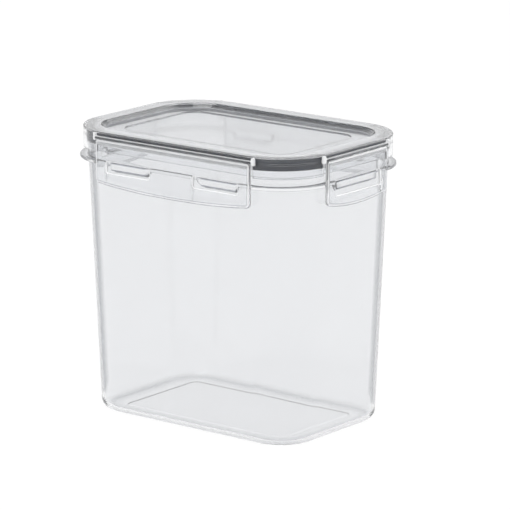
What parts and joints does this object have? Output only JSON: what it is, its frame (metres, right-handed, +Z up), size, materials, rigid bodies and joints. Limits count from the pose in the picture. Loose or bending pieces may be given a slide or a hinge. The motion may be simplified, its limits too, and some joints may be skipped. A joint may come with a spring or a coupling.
{
  "type": "food canister",
  "caption": "Rectangular clear food canister with rounded corners; clip-lock lid with silicone seal and hinged flaps.",
  "frame": {"origin": "middle of the base, on the surface it stands on", "axes": "+Z up, +X along the long side, +Y along the short side away from the front flap"},
  "size_m": [0.175, 0.1214, 0.17],
  "materials": {
    "clear_body": "clear glossy moulded plastic",
    "clear_lid": "clear, slightly milky moulded plastic",
    "silicone": "satin slate grey silicone",
    "clear_flap": "clear glossy moulded plastic",
    "clear_film": "thin clear living hinge"
  },
  "bodies": {
    "container": {"container": "clear_body"},
    "lid": {"lid": "clear_lid", "seal": "silicone", "hinge_film_front": "clear_film", "hinge_film_rear": "clear_film", "hinge_film_left": "clear_film", "hinge_film_right": "clear_film"},
    "flap_front": {"flap_front": "clear_flap"},
    "flap_rear": {"flap_rear": "clear_flap"},
    "flap_left": {"flap_left": "clear_flap"},
    "flap_right": {"flap_right": "clear_flap"}
  },
  "joints": [
    {"name": "lid_lift", "type": "slide", "parent": "container", "child": "lid", "axis": [0, 0, 1], "range_m": [0, 0.05]},
    {"name": "flap_front_hinge", "type": "hinge", "parent": "lid", "child": "flap_front", "pos_m": [0, -0.06025, 0.1668], "axis": [-1, 0, 0], "range_deg": [0, 120]},
    {"name": "flap_rear_hinge", "type": "hinge", "parent": "lid", "child": "flap_rear", "pos_m": [0, 0.06025, 0.1668], "axis": [1, 0, 0], "range_deg": [0, 120]},
    {"name": "flap_left_hinge", "type": "hinge", "parent": "lid", "child": "flap_left", "pos_m": [-0.08705, 0, 0.1668], "axis": [0, 1, 0], "range_deg": [0, 120]},
    {"name": "flap_right_hinge", "type": "hinge", "parent": "lid", "child": "flap_right", "pos_m": [0.08705, 0, 0.1668], "axis": [0, -1, 0], "range_deg": [0, 120]}
  ]
}
